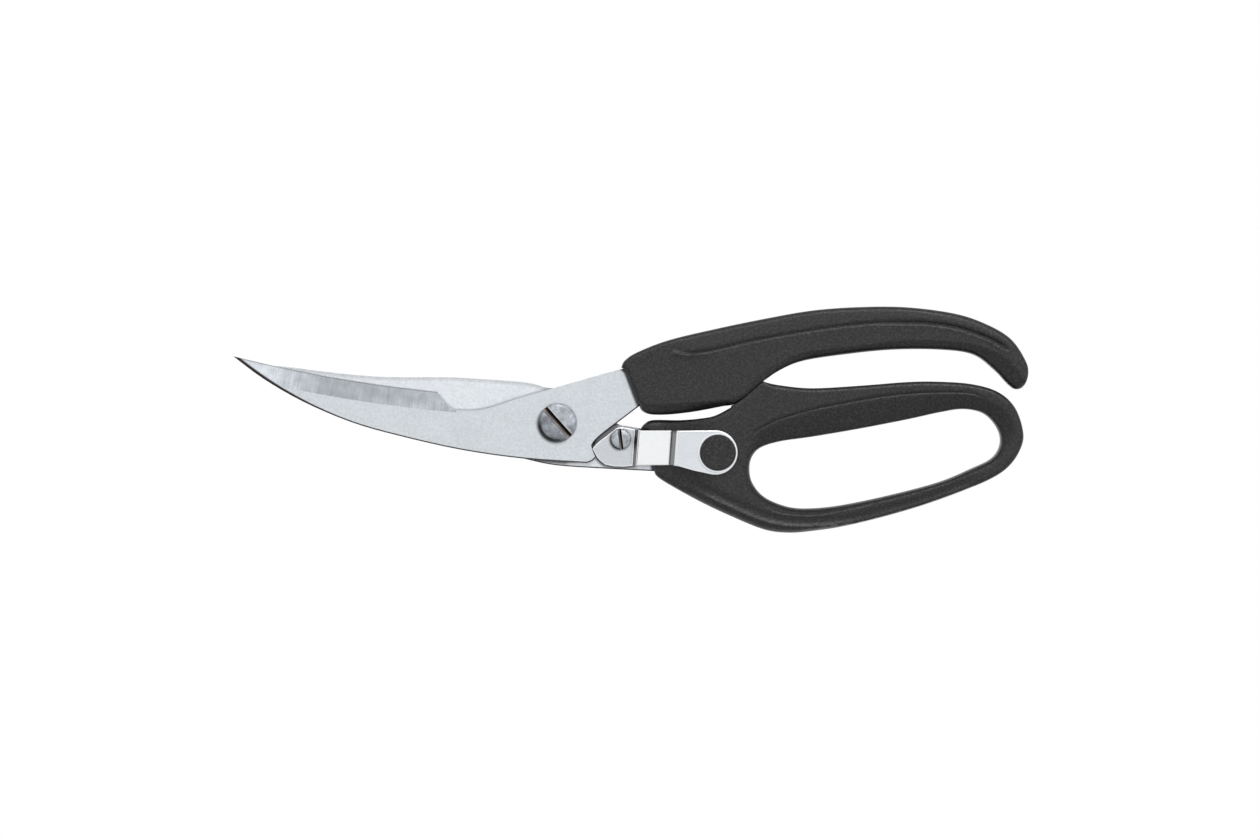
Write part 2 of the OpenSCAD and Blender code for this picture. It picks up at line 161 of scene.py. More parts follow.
def spline(points, step=LINE_STEP, loop=False):
    """Points every step or so along a smooth curve or loop through the given points."""
    points = np.asarray(points, float)
    count = len(points)
    if loop:
        before, after = np.roll(points, 1, axis=0), np.roll(points, -1, axis=0)
    else:
        before = np.insert(points[:-1], 0, points[0], axis=0)
        after = np.append(points[1:], points[-1:], axis=0)
    ahead = np.linalg.norm(after - points, axis=1)
    behind = np.linalg.norm(points - before, axis=1)
    tangent = (after - before) / (ahead + behind)[:, None]
    out = []
    for i in range(count if loop else count - 1):
        j = (i + 1) % count
        length = ahead[i]
        for t in np.arange(0, 1, 1 / max(1, round(length / step))):
            out.append(
                (2 * t**3 - 3 * t**2 + 1) * points[i]
                + (t**3 - 2 * t**2 + t) * length * tangent[i]
                + (3 * t**2 - 2 * t**3) * points[j]
                + (t**3 - t**2) * length * tangent[j]
            )
    if not loop:
        out.append(points[-1])
    return np.array(out)


def smooth_outline(points, step=OUTLINE_STEP, corner=28):
    """A closed outline resampled every step or so, smooth except at bends above corner."""
    corners = np.flatnonzero(abs(bend_at(points)) > corner)
    if not len(corners):
        return spline(points, step, loop=True)
    out = []
    for first, last in zip(corners, np.append(corners[1:], corners[0] + len(points))):
        run = points[np.arange(first, last + 1) % len(points)]
        out.append(spline(run, step)[:-1])
    return np.concatenate(out)


def distance(points, line, batch=2000):
    """How far each point lies from a line, positive on its left, and how far along it.
    The points are taken in batches, so that the tables stay small."""
    a, way = line[:-1], np.diff(line, axis=0)
    length = np.linalg.norm(way, axis=1)
    start = np.insert(np.cumsum(length), 0, 0)[:-1]
    gap, along = np.empty(len(points)), np.empty(len(points))
    for i in range(0, len(points), batch):
        p = points[i : i + batch, None]
        t = np.clip(((p - a) * way).sum(2) / length**2, 0, 1)
        off = p - (a + t[..., None] * way)
        far = np.linalg.norm(off, axis=2)
        k = far.argmin(1)
        rows = np.arange(len(k))
        side = way[k, 0] * off[rows, k, 1] - way[k, 1] * off[rows, k, 0]
        gap[i : i + batch] = far[rows, k] * np.where(side < 0, -1, 1)
        along[i : i + batch] = start[k] + t[rows, k] * length[k]
    return gap, along


def closed(line):
    return np.append(line, line[:1], axis=0)


def inside(points, outline):
    """Whether each point lies inside a closed outline."""
    a, b = outline, np.roll(outline, -1, axis=0)
    x, y = points[:, 0:1], points[:, 1:2]
    crosses = (a[:, 1] > y) != (b[:, 1] > y)
    rise = np.where(b[:, 1] == a[:, 1], 1, b[:, 1] - a[:, 1])
    at = a[:, 0] + (y - a[:, 1]) * (b[:, 0] - a[:, 0]) / rise
    return (crosses & (x < at)).sum(1) % 2 == 1


def beside(line, offset):
    """A line's points moved sideways, to its left for a positive offset."""
    way = np.gradient(line, axis=0)
    left = np.stack([-way[:, 1], way[:, 0]], 1) / np.linalg.norm(way, axis=1)[:, None]
    return line + left * offset


# ---- Profiles --------------------------------------------------------------


def smooth_step(x, start, end):
    """0 up to start, 1 from end on, and smooth between them."""
    t = np.clip((x - start) / (end - start), 0, 1)
    return t * t * (3 - 2 * t)


def stretch(x, start, full, fade, end):
    """1 from full to fade, 0 before start and after end, and smooth between them."""
    return smooth_step(x, start, full) * (1 - smooth_step(x, fade, end))


def way_over(near, far):
    """How much of the way from one line to another a point has gone, from 0 to 1."""
    return near / np.maximum(near + far, 1e-6)


def peak(gap, width):
    """1 on a line, falling evenly to 0 at the width."""
    return np.clip(1 - gap / width, 0, 1)


def rounding(gap, width, depth):
    """Drop of a rounded edge: depth at the edge, nothing from width inwards."""
    u = peak(gap, width)
    return depth * (1 - np.sqrt(1 - u * u))


def handle_edge(plan, gap):
    """Drop of a handle's rounded edge, which is sharper where the handles touch."""
    width, depth, least = 1.2, 1.1, 0.25
    apart = smooth_step(abs(distance(plan, MEETING)[0]), 1.0, 2.6)
    return rounding(gap, width, depth) * (least + (1 - least) * apart)


# ---- Meshes ----------------------------------------------------------------


def joined(node):
    """A CAD node's mesh as a closed bmesh, in mm, with flat regions merged."""
    mesh = bmesh.new()
    mesh.from_mesh(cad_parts[node].data)
    bmesh.ops.scale(mesh, vec=(1 / MM,) * 3, verts=mesh.verts)
    bmesh.ops.remove_doubles(mesh, verts=mesh.verts, dist=0.002)
    bmesh.ops.dissolve_limit(
        mesh, angle_limit=math.radians(0.3), verts=mesh.verts, edges=mesh.edges
    )
    return mesh


def outlines(node, height, shortest=0.03, straightest=0.05):
    """Closed outlines of a CAD node cut at a height, longest first, without edges under the
    shortest and bends under the straightest, in degrees."""
    mesh = joined(node)
    everything = mesh.verts[:] + mesh.edges[:] + mesh.faces[:]
    cut = bmesh.ops.bisect_plane(
        mesh, geom=everything, plane_co=(0, 0, height), plane_no=(0, 0, 1)
    )["geom_cut"]
    free = {part for part in cut if isinstance(part, bmesh.types.BMEdge)}
    loops = []
    while free:
        edge = free.pop()
        first, vert = edge.verts
        loop = [first, vert]
        while True:
            following = [e for e in vert.link_edges if e in free]
            if not following:
                break
            free.discard(following[0])
            vert = following[0].other_vert(vert)
            loop.append(vert)
        points = np.array([v.co.xy for v in loop if v is not first] + [first.co.xy])
        apart = np.linalg.norm(points - np.roll(points, 1, axis=0), axis=1) > shortest
        points = points[apart]
        points = points[abs(bend_at(points)) > straightest]
        loops.append(points if signed_area(points) > 0 else points[::-1])
    mesh.free()
    return sorted(loops, key=len, reverse=True)


def made(mesh, name, smooth_angle=35):
    """A scene object, in metres, from a bmesh in mm, with edges sharper than the angle kept."""
    bmesh.ops.scale(mesh, vec=(MM,) * 3, verts=mesh.verts)
    bmesh.ops.recalc_face_normals(mesh, faces=mesh.faces)
    data = bpy.data.meshes.new(name)
    mesh.to_mesh(data)
    mesh.free()
    data.shade_smooth()
    data.set_sharp_from_angle(angle=math.radians(smooth_angle))
    piece = bpy.data.objects.new(name, data)
    bpy.context.scene.collection.objects.link(piece)
    return piece


def thinned(groups, apart):
    """Points of all groups, without those too close to a point of an earlier group."""
    points = np.concatenate(groups)
    tree = KDTree(len(points))
    for i, p in enumerate(points):
        tree.insert((p[0], p[1], 0), i)
    tree.balance()
    kept = np.ones(len(points), bool)
    for i, p in enumerate(points):
        if kept[i]:
            for _, j, _ in tree.find_range((p[0], p[1], 0), apart):
                if j > i:
                    kept[j] = False
    return points[kept]


def within_loops(points, loops):
    """Whether each point lies inside the first loop and outside the others, the holes."""
    keep = inside(points, loops[0])
    for hole in loops[1:]:
        keep &= ~inside(points, hole)
    return keep


def triangulated(loops, lines):
    """Points and triangles that fill the closed loops, with rows of points along the loops and
    the lines and an even grid between them."""
    rim = np.concatenate(loops)
    rows = []
    for inset in RIM_ROWS:
        for loop, side in zip(loops, [1] + [-1] * len(loops)):
            rows.append(beside(closed(loop), side * inset)[:-1])
    for line in lines:
        rows += [beside(line, offset) for offset in LINE_ROWS]
    low, high = rim.min(0), rim.max(0)
    across, up = np.meshgrid(
        np.arange(low[0], high[0], GRID), np.arange(low[1], high[1], GRID * 0.87)
    )
    across[1::2] += GRID / 2
    rows.append(np.stack([across.ravel(), up.ravel()], 1))
    extra = thinned([rim] + rows, CLOSEST)[len(rim) :]
    extra = extra[within_loops(extra, loops)]
    near = np.min([abs(distance(extra, closed(loop))[0]) for loop in loops], axis=0)
    extra = extra[near > RIM_GAP]

    edges, start = [], 0
    for loop in loops:
        edges += [(start + i, start + (i + 1) % len(loop)) for i in range(len(loop))]
        start += len(loop)
    verts = [Vector(p) for p in np.concatenate([rim, extra])]
    verts, _, faces, *_ = delaunay_2d_cdt(verts, edges, [], 0, 1e-5)
    plan = np.array([v[:] for v in verts])
    faces = np.array(faces)
    return plan, faces[within_loops(plan[faces].mean(1), loops)]


def moulding(name, loops, lines, height, floor):
    """A moulded solid inside closed loops. lines get rows of points beside them, and height
    and floor give the top and bottom at each point."""
    plan, faces = triangulated(loops, lines)
    mesh = bmesh.new()
    top = [mesh.verts.new((*p, z)) for p, z in zip(plan, height(plan))]
    low = [mesh.verts.new((*p, z)) for p, z in zip(plan, floor(plan))]
    sides = []
    for a, b, c in faces:
        mesh.faces.new((top[a], top[b], top[c]))
        mesh.faces.new((low[c], low[b], low[a]))
        sides += [(a, b), (b, c), (c, a)]
    shared = set(sides)
    for a, b in sides:
        if (b, a) not in shared:
            mesh.faces.new((top[a], low[a], low[b], top[b]))
    loose = [v for v in mesh.verts if not v.link_faces]
    bmesh.ops.delete(mesh, geom=loose, context="VERTS")
    return made(mesh, name, smooth_angle=50)


def refined(node, name, steps, smooth_angle=35, rim=0):
    """A copy of a CAD node with softened edges. Each step is (chooses an edge, width, segments).
    A band as wide as rim round its level front faces is marked for the material's painted
    highlight."""
    sharp = math.radians(32)
    mesh = joined(node)
    for chosen, width, segments in steps:
        edges = [
            e
            for e in mesh.edges
            if len(e.link_faces) == 2 and e.calc_face_angle() > sharp and chosen(e)
        ]
        bmesh.ops.bevel(
            mesh, geom=edges, offset=width, segments=segments, profile=0.5, affect="EDGES",
            clamp_overlap=False,
        )
    if rim:
        mark = mesh.faces.layers.float.new("rim")
        level = [face for face in mesh.faces if face.normal.z > 0.9 and face.calc_area() > 1]
        band = bmesh.ops.inset_region(
            mesh, faces=level, thickness=rim, use_even_offset=True, use_boundary=True
        )["faces"]
        for face in band:
            face[mark] = 1
    piece = made(mesh, name, smooth_angle)
    even = piece.modifiers.new("even_shading", "WEIGHTED_NORMAL")
    even.keep_sharp = True
    return piece


# ---- Shader nodes ----------------------------------------------------------


class Shader:
    """Adds linked nodes to a material's or a world's tree."""

    def __init__(self, owner):
        owner.use_nodes = True
        self.tree = owner.node_tree
        self.tree.nodes.clear()

    def add(self, kind, inputs=None, output=0, **settings):
        node = self.tree.nodes.new(kind)
        for key, value in settings.items():
            setattr(node, key, value)
        for key, value in (inputs or {}).items():
            if isinstance(value, bpy.types.NodeSocket):
                self.tree.links.new(value, node.inputs[key])
            else:
                node.inputs[key].default_value = value
        return node.outputs[output] if node.outputs else node

    def math(self, operation, a, b=0.0, c=0.0):
        return self.add("ShaderNodeMath", {0: a, 1: b, 2: c}, operation=operation)

    def times(self, first, *others):
        """Product of two or more values."""
        for other in others:
            first = self.math("MULTIPLY", first, other)
        return first

    def vector(self, operation, a, b=(0.0, 0.0, 0.0), output="Vector"):
        return self.add("ShaderNodeVectorMath", {0: a, 1: b}, output, operation=operation)

    def between(self, value, low, high, out_low=0.0, out_high=1.0):
        """A value's range from low to high stretched to another range, with level ends."""
        inputs = {0: value, 1: low, 2: high, 3: out_low, 4: out_high}
        return self.add("ShaderNodeMapRange", inputs)

    def mix(self, factor, a, b, blend="MIX"):
        """Two colours mixed. The colour sockets are inputs 6 and 7 and output 2."""
        inputs = {0: factor, 6: a, 7: b}
        return self.add("ShaderNodeMix", inputs, 2, data_type="RGBA", blend_type=blend)

    def tinted(self, tone, colour):
        """A colour times a grey tone."""
        grey = self.add("ShaderNodeCombineColor", {0: tone, 1: tone, 2: tone})
        return self.mix(1.0, grey, colour, blend="MULTIPLY")

    def darkened(self, share, colour):
        """A colour with a share of its light taken away."""
        return self.tinted(self.math("SUBTRACT", 1.0, share), colour)

    def noise(self, place, scale, detail=2.0, rough=0.5):
        inputs = {"Vector": place, "Scale": scale, "Detail": detail, "Roughness": rough}
        return self.add("ShaderNodeTexNoise", inputs)

    def place(self):
        """Position on the object, in metres."""
        return self.add("ShaderNodeTexCoord", output="Object")

    def normal(self):
        """The surface's normal, without smoothing."""
        return self.add("ShaderNodeNewGeometry", output="True Normal")

    def parts(self, vector):
        return self.add("ShaderNodeSeparateXYZ", {0: vector}).node.outputs

    def facing(self):
        """Absolute height of the normal: 1 on level faces, 0 on upright ones."""
        return self.math("ABSOLUTE", self.parts(self.normal())[2])

    def openness(self, way, reach):
        """Share of the surroundings that is free within a reach, seen in a direction."""
        inputs = {"Distance": reach * MM, "Normal": way}
        return self.add("ShaderNodeAmbientOcclusion", inputs, "AO", samples=8)

    def crevice(self, lean=1.0, reach=1.3, dark=0.3, light=0.78):
        """1 in the open, falling in narrow gaps and beside walls that stand in the light's way."""
        normal = self.normal()
        way = self.vector("NORMALIZE", self.vector("ADD", normal, (lean, lean, 0.0)))
        lit = self.openness(way, reach)
        wide = self.openness(normal, 1.8)
        return self.times(self.between(lit, dark, light), self.between(wide, 0.1, 0.75))

    def radius(self, place, centre):
        """Distance from a point of the plan, and the offsets from it, in metres."""
        x, y, _ = self.parts(place)
        dx = self.math("SUBTRACT", x, centre[0] * MM)
        dy = self.math("SUBTRACT", y, centre[1] * MM)
        squares = self.math("ADD", self.times(dx, dx), self.times(dy, dy))
        return self.math("SQRT", squares), dx, dy

    def shaded_side(self, radius, dx, dy):
        """1 to the lower left of a centre, on the side away from the light, 0 on the other."""
        toward = self.math("DIVIDE", self.math("ADD", dx, dy), radius)
        return self.between(toward, -0.4, -1.25)

    def finish(self, inputs):
        surface = self.add("ShaderNodeBsdfPrincipled", inputs)
        self.add("ShaderNodeOutputMaterial", {"Surface": surface})


def rgb(red, green, blue):
    """Linear colour from 8-bit screen values."""
    return (*[((v / 255 + 0.055) / 1.055) ** 2.4 for v in (red, green, blue)], 1.0)


# Colours of the marks on the pieces
GROUND = rgb(192, 197, 203)
# painted shade along the cutting edge
EDGE_SHADE = rgb(120, 116, 116)
# painted shade along the belly's downward edge
BELLY_SHADE = rgb(62, 57, 57)
# painted highlight on the lever's edges and round its button
RIM_HIGHLIGHT = rgb(253, 254, 255)
# painted highlight on one edge of a screw slot
SLOT_EDGE_HIGHLIGHT = rgb(250, 251, 252)
# painted light and shade across a screw slot's floor
SLOT_LIT = rgb(176, 168, 164)
SLOT_SHADE = rgb(74, 67, 66)
WARM_SPECK = rgb(38, 34, 34)

# ---- Marks on the steel ----------------------------------------------------


def arc(points):
    """Centre and radius of the circle through three points."""
    a, b, c = points
    centre = np.linalg.solve(2 * np.array([b - a, c - a]), [b @ b - a @ a, c @ c - a @ a])
    return centre, np.linalg.norm(a - centre)


def ground_bevel(shader, place, colour):
    """Mixes in the ground bevel: fine lines square to the cutting edge, a little darker, and
    a line of painted shade along the edge itself. Also gives where the bevel is."""
    centre, edge_radius = arc(CUTTING_EDGE)
    radius, dx, dy = shader.radius(place, centre)
    angle = shader.math("ARCTAN2", dy, dx)

    def streaks(per_radian, per_metre):
        turn = shader.times(angle, per_radian)
        out = shader.times(radius, per_metre)
        return shader.noise(shader.add("ShaderNodeCombineXYZ", {0: turn, 1: out}), 1.0, 3.0)

    lines = shader.between(streaks(1100.0, 60.0), 0.25, 0.75, 0.84, 1.16)
    cloud = shader.between(streaks(150.0, 260.0), 0.3, 0.7, 0.82, 1.14)
    x = shader.parts(place)[0]
    at_tip = shader.between(x, -74 * MM, -90 * MM, 1.0, 1.6)
    at_heel = shader.between(x, -60 * MM, -45 * MM, 1.0, 1.13)
    tone = shader.times(lines, cloud, shader.times(at_tip, at_heel))
    ground = shader.tinted(tone, GROUND)
    # Painted shade: a dark line along the cutting edge.
    beyond = shader.math("SUBTRACT", radius, edge_radius * MM)
    line = shader.between(beyond, 0.45 * MM, 0.2 * MM, 0.0, 0.6)
    ground = shader.mix(line, ground, EDGE_SHADE)

    facing = shader.facing()
    steepest, flattest = 0.84, 0.94
    sloping = shader.times(
        shader.math("LESS_THAN", facing, flattest), shader.math("GREATER_THAN", facing, steepest)
    )
    on = shader.times(sloping, shader.math("LESS_THAN", x, -20 * MM))
    return shader.mix(on, colour, ground), on


def under_edge(shader, place, colour):
    """Mixes in painted shade along the belly's downward edge, widest at the tip."""
    centre, belly_radius = arc(BELLY_EDGE)
    radius, _, _ = shader.radius(place, centre)
    depth = shader.math("SUBTRACT", belly_radius * MM, radius)
    x = shader.parts(place)[0]
    width = shader.between(x, -96 * MM, -60 * MM, 0.9 * MM, 0.3 * MM)
    strip = shader.between(shader.math("DIVIDE", depth, width), 1.3, 0.8)
    ends = shader.between(x, -72 * MM, -52 * MM, 1.0, 0.0)
    strength = shader.times(ends, shader.between(shader.facing(), 0.3, 0.45))
    return shader.mix(shader.times(strip, strength), colour, BELLY_SHADE)


def painted_rim_highlights(shader, place, colour):
    """Mixes in a painted highlight along the lever's edges and round its button."""
    radius, _, _ = shader.radius(place, BUTTON)
    ring = shader.times(
        shader.between(radius, 5.7 * MM, 5.85 * MM), shader.between(radius, 6.3 * MM, 6.1 * MM)
    )
    rim = shader.add("ShaderNodeAttribute", output="Fac", attribute_name="rim")
    flat = shader.between(shader.facing(), 0.9, 0.98)
    both = shader.times(shader.math("MAXIMUM", ring, rim), flat)
    return shader.mix(shader.times(both, 0.85), colour, RIM_HIGHLIGHT)


def bent_sheet(shader, place, colour, pale):
    """Painted shade on the lower nose plate, and a painted highlight on the face where the
    lever rises between its bends.
    """
    nose_shade = shader.between(shader.parts(place)[2], 7.3 * MM, 7.9 * MM, 0.84, 1.0)
    lean = shader.parts(shader.normal())[0]
    return shader.mix(shader.between(lean, -0.04, -0.07), shader.tinted(nose_shade, colour), pale)


def chamfers(shader, colour, dark, risers):
    """Painted shade on the chamfers that face -Y, away from the light, and on the lever's
    risers if it has them.
    """
    facing = shader.facing()
    x, y, _ = shader.parts(shader.normal())
    not_level = shader.between(facing, 0.8, 0.72)
    not_upright = shader.between(facing, 0.3, 0.45)
    chamfer = shader.times(not_level, not_upright, shader.between(y, -0.1, -0.2))
    if risers:
        riser = shader.times(shader.between(x, -0.3, -0.6, 0.0, 0.8), not_level)
        chamfer = shader.math("MAXIMUM", chamfer, riser)
    return shader.mix(chamfer, colour, dark)


def cast_shadow(shader, place, colour, head_radius, reach=1.3, strength=0.6):
    """Darkens the steel beside the pivot screw's head, on the side away from the light."""
    radius, dx, dy = shader.radius(place, PIVOT)
    near = shader.between(radius, head_radius * MM, (head_radius + reach) * MM, strength, 0.0)
    return shader.darkened(shader.times(near, shader.shaded_side(radius, dx, dy)), colour)


def slotted_head(shader, place, colour, centre, top, rim_radius, slot_turn, slot_width):
    """A slot at an angle in degrees with a painted highlight on one edge and a side in painted
    shade, and painted shade on the rim.
    """
    radius, dx, dy = shader.radius(place, centre)
    turn = math.radians(slot_turn)
    across = shader.math(
        "ADD", shader.times(dx, -math.sin(turn)), shader.times(dy, math.cos(turn))
    )
    width = slot_width * MM
    # Painted highlight along one edge of the slot.
    edge_highlight = shader.times(
        shader.between(across, 0.5 * width, 0.55 * width),
        shader.between(across, 0.7 * width, 0.62 * width, 0.0, 0.6),
    )
    colour = shader.mix(edge_highlight, colour, SLOT_EDGE_HIGHLIGHT)
    start = shader.between(radius, 0.84 * rim_radius * MM, 0.89 * rim_radius * MM, 0.0, 0.8)
    colour = shader.darkened(shader.times(start, shader.shaded_side(radius, dx, dy)), colour)
    # Painted light and shade across the slot's floor.
    core = shader.between(across, -0.25 * width, 0.08 * width)
    slot = shader.mix(core, SLOT_LIT, SLOT_SHADE)
    height = shader.parts(place)[2]
    return shader.mix(
        shader.between(height, (top - 0.85) * MM, (top - 0.6) * MM), slot, colour
    )


# ---- Materials -------------------------------------------------------------


def steel(
    name, colour, roughness=0.38, grain=0.1, bevel=False, chamfer=None, ramp=None,
    gap_dark=0.3, gap_light=0.78, shadow_radius=0,
):
    """Satin stainless steel with a fine mottled grain, and painted shade in gaps. It has the front
    blade's ground bevel and painted belly shade if asked, painted shade in its own colours on
    chamfers and painted highlights on the lever's ramp and edges, with painted shade on its
    nose, if given, and the painted soft shadow of a head of the given radius on the pivot."""
    material = bpy.data.materials.new(name)
    shader = Shader(material)
    place = shader.place()
    speck = shader.noise(place, 1300.0, 3.0, 0.7)
    patch = shader.noise(place, 140.0)
    tone = shader.times(
        shader.between(speck, 0.3, 0.7, 1 - grain, 1 + grain),
        shader.between(patch, 0.3, 0.7, 0.98, 1.02),
    )
    base = shader.tinted(tone, colour)
    rough = shader.between(speck, 0.3, 0.7, roughness - 0.04, roughness + 0.04)
    if bevel:
        base, on_bevel = ground_bevel(shader, place, base)
        rough = shader.between(on_bevel, 0, 1, rough, 0.2)
    # Painted shade on the lever's nose and a painted highlight on its ramp.
    if ramp:
        base = bent_sheet(shader, place, base, ramp)
    # Painted shade on chamfers and risers.
    if chamfer:
        base = chamfers(shader, base, chamfer, risers=bool(ramp))
    if bevel:
        base = under_edge(shader, place, base)
    # Painted shade in gaps and beside walls away from the light.
    shade = shader.crevice(dark=gap_dark, light=gap_light)
    base = shader.tinted(shader.between(shade, 0, 1, 0.1, 1), base)
    if shadow_radius:
        base = cast_shadow(shader, place, base, shadow_radius)
    if ramp:
        base = painted_rim_highlights(shader, place, base)
    bump = shader.add("ShaderNodeBump", {"Height": speck, "Strength": 0.12, "Distance": 0.03 * MM})
    shader.finish({"Base Color": base, "Metallic": 1.0, "Roughness": rough, "Normal": bump})
    return material


def turned_steel(name, colour, centre, head=None):
    """Steel turned on a lathe: fine rings about a centre. A screw's head gives the top, the
    rim and the slot that slotted_head takes."""
    material = bpy.data.materials.new(name)
    shader = Shader(material)
    place = shader.place()
    radius, dx, dy = shader.radius(place, centre)
    across = shader.times(radius, 5200.0)
    rings = shader.noise(shader.add("ShaderNodeCombineXYZ", {0: across}), 1.0)
    swirl = shader.noise(place, 520.0, 3.0)
    tone = shader.times(
        shader.between(rings, 0.3, 0.7, 0.78, 1.16),
        shader.between(swirl, 0.36, 0.64, 0.62, 1.22),
    )
    # Painted light: the upper right side lighter, the lower left darker.
    lit_side = shader.between(shader.math("ADD", dx, dy), -6 * MM, 6 * MM, 0.78, 1.26)
    base = shader.tinted(shader.times(tone, lit_side), colour)
    if head:
        base = slotted_head(shader, place, base, centre, **head)
    # Painted shade in the slot and in gaps.
    shade = shader.crevice(lean=1.2, reach=3.0, dark=0.3, light=0.66)
    base = shader.tinted(shader.between(shade, 0, 1, 0.03, 1), base)
    bump = shader.add("ShaderNodeBump", {"Height": rings, "Strength": 0.25, "Distance": 0.05 * MM})
    shader.finish({"Base Color": base, "Metallic": 1.0, "Roughness": 0.42, "Normal": bump})
    return material


def moulded_plastic(name, colour, roughness=0.34, grain=0.05):
    """Moulded plastic with a fine eroded grain of a given depth."""
    material = bpy.data.materials.new(name)
    shader = Shader(material)
    place = shader.place()
    speck = shader.noise(place, 1400.0, 3.0, 0.65)
    patch = shader.noise(place, 90.0)
    tone = shader.times(
        shader.between(speck, 0.38, 0.64, 0.62, 1.5),
        shader.between(patch, 0.3, 0.7, 0.93, 1.07),
    )
    warmth = shader.between(speck, 0.5, 0.66)
    base = shader.tinted(tone, shader.mix(warmth, colour, WARM_SPECK))
    gloss = shader.between(speck, 0.38, 0.64, 0.42, 0.56)
    rough = shader.between(speck, 0.3, 0.7, roughness + 0.06, roughness - 0.06)
    bump = shader.add("ShaderNodeBump", {"Height": speck, "Strength": 0.5, "Distance": grain * MM})
    shader.finish(
        {"Base Color": base, "Roughness": rough, "Specular IOR Level": gloss, "Normal": bump}
    )
    return material


# ---- Handles ---------------------------------------------------------------


def touching(outline, other, reach=0.6, left=0.04):
    """An outline moved up to another one, to a gap of left, where the two nearly touch."""
    ring = closed(other)
    out = outline.copy()
    for i, point in enumerate(outline):
        gap = ring - point
        nearest = gap[np.linalg.norm(gap, axis=1).argmin()]
        far = abs(distance(point[None], ring)[0][0])
        if far < reach:
            out[i] += unit(nearest) * max(far - left, 0)
    return out


def upper_handle(outline):
    """The long bow: a flat face, a groove along its upper side, and a steep underside."""
    groove, turn = spline(UPPER_GROOVE), spline(UPPER_TURN)
    ring = closed(outline)

    def underside(x, under, edge):
        """Drop below the turn: steepest near the blade, gentle where the handles touch."""
        depth = 1 - 0.75 * stretch(x, 52, 60, 70, 80) + 0.6 * (1 - smooth_step(x, 44, 56))
        return 1.6 * depth * way_over(under, edge) ** 1.05

    def crown(along, above, edge):
        """Fall from the groove to the upper edge."""
        return 0.25 * way_over(above, edge) ** 1.5 * stretch(along, 0, 9, 106, 113)

    def valley(x, along, gap):
        """The groove, wider on its lower side and deeper towards the hooked end."""
        hook = smooth_step(x, 95, 118)
        sides = np.where(gap > 0, peak(gap, 0.5), peak(-gap, 0.6 + 0.6 * hook))
        return (0.36 + 0.19 * hook) * sides * stretch(along, 0, 9, 106, 113)

    def lip(x, along, gap):
        """Raised lip under the groove, at both of its ends."""
        start = 1 - smooth_step(x, 41, 50)
        height, width = 0.22 + 0.06 * start, 0.45 + 0.35 * start
        where = smooth_step(x, 100, 112) + 1 - smooth_step(x, 42, 52)
        ends = stretch(along, 0.5, 2.5, 108, 113)
        return height * np.exp(-(((gap + 0.9) / width) ** 2)) * where * ends

    def drop(plan):
        x = plan[:, 0]
        edge = abs(distance(plan, ring)[0])
        under = np.clip(-distance(plan, turn)[0], 0, None)
        gap, along = distance(plan, groove)
        above = np.clip(gap, 0, None)
        total = underside(x, under, edge) + handle_edge(plan, edge)
        total += crown(along, above, edge) + valley(x, along, gap) - lip(x, along, gap)
        return np.minimum(total, DEEPEST)

    piece = moulding(
        "upper_grip", [outline], [groove, turn],
        lambda plan: HANDLE_T - drop(plan), lambda plan: np.maximum(drop(plan), 0),
    )
    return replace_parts(piece, "upper_handle")


def lower_handle(outline, hole):
    """The finger loop: a face that falls into the hole, a rounded rim, and a low nose."""
    hole_turn = spline(HOLE_TURN, loop=True)
    crest = beside(spline(RIM_CREST), -0.55)
    ring, hole_ring, turn_ring = closed(outline), closed(hole), closed(hole_turn)

    def flank(within, hole_edge):
        """Fall from the turn to the finger hole."""
        depth = np.minimum(2.2, 0.9 * (hole_edge + within))
        return depth * way_over(within, hole_edge) ** 1.3

    def line(x, y, gap):
        """Fine groove on the turn, above the finger hole."""
        upper_side = smooth_step(y + 0.12 * x, -1, 7)
        return 0.36 * peak(abs(gap), 0.45) * upper_side * (1 - smooth_step(x, 128, 138))

    def rounded_rim(crest_gap, along, turn_gap, edge):
        """Fall from the crest to the outer edge, and the dip between crest and turn."""
        outer, inner = np.clip(-crest_gap, 0, None), np.clip(crest_gap, 0, None)
        beyond = np.clip(turn_gap, 0, None)
        fall = 1.7 * way_over(outer, edge) ** 1.5
        across = np.clip(inner / np.clip(inner + beyond, 0.5, 3.2), 0, 1)
        return (fall + 0.33 * np.sin(math.pi * across)) * stretch(along, 0, 8, 95, 104)

    def drop(plan):
        x, y = plan.T
        edge, hole_edge = (abs(distance(plan, side)[0]) for side in (ring, hole_ring))
        turn_gap = distance(plan, turn_ring)[0]
        crest_gap, crest_along = distance(plan, crest)
        total = flank(np.clip(-turn_gap, 0, None), hole_edge) + line(x, y, turn_gap)
        total += rounded_rim(crest_gap, crest_along, turn_gap, edge)
        total += handle_edge(plan, edge) + rounding(hole_edge, 0.8, 0.9)
        return np.minimum(total, DEEPEST)

    def top(plan):
        rise = smooth_step(plan[:, 0], *NOSE_RISE)
        full = HANDLE_T - drop(plan)
        nose = NOSE_TOP - rounding(abs(distance(plan, ring)[0]), 1.6, 1.4)
        return nose + (full - nose) * rise

    piece = moulding("lower_grip", [outline, hole], [hole_turn, crest], top, drop)
    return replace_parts(piece, "lower_handle")


# ---- Steel pieces ----------------------------------------------------------


def any_edge(edge):
    return True


def lower_rim(edge):
    """Whether an edge lies between a front face and a wall that faces -Y."""
    walls = [face.normal for face in edge.link_faces if abs(face.normal.z) < 0.3]
    tops = [face.normal for face in edge.link_faces if face.normal.z > 0.7]
    return len(walls) == 1 and len(tops) == 1 and walls[0].y < -0.25


